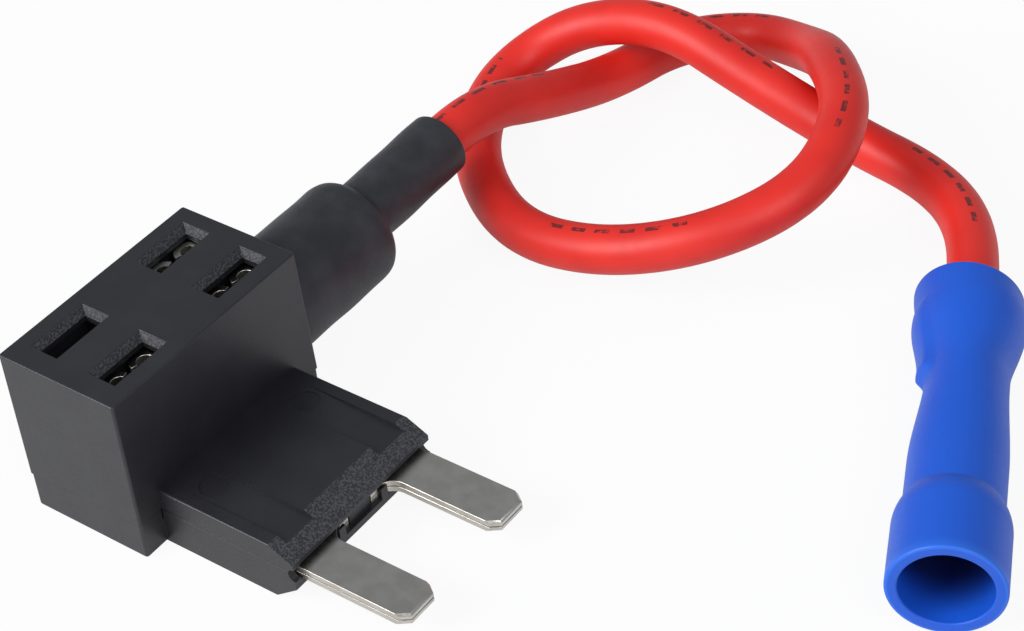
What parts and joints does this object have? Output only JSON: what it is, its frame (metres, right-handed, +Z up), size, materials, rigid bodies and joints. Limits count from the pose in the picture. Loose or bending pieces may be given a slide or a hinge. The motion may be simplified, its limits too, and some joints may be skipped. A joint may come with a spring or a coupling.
{
  "type": "blade fuse tap",
  "caption": "Blade fuse tap: plastic socket block with flat contact blades and a sleeved flexible lead that ends in a crimp-on butt splice.",
  "frame": {"origin": "on the surface that the tap lies on, below the middle of the edge where the tongue leaves the block", "axes": "+X along the block towards the lead, +Y from the blades to the back of the block, +Z up out of the sockets"},
  "size_m": [0.0603, 0.0527, 0.0114],
  "materials": {
    "black_plastic": "glass-filled black nylon, fine spark texture",
    "tinned_brass": "tin-plated brass sheet, slightly dull",
    "tinned_copper": "tinned copper strands",
    "red_insulation": "soft red vinyl, satin",
    "shrink_sleeve": "black shrink tubing, satin with fine ripples",
    "blue_insulator": "blue vinyl, slightly translucent at its edges",
    "tinned_barrel": "tin-plated copper tube"
  },
  "bodies": {
    "root": {"upper_housing": "black_plastic", "bottom_cover": "black_plastic", "supply_terminal": "tinned_brass", "load_terminal": "tinned_brass", "wire_terminal": "tinned_brass", "tap_strands": "tinned_copper", "lead_root": "red_insulation", "heat_shrink_sleeve": "shrink_sleeve", "red_lead": "red_insulation", "splice_insulator": "blue_insulator", "splice_barrel": "tinned_barrel", "splice_strands": "tinned_copper"}
  },
  "joints": []
}
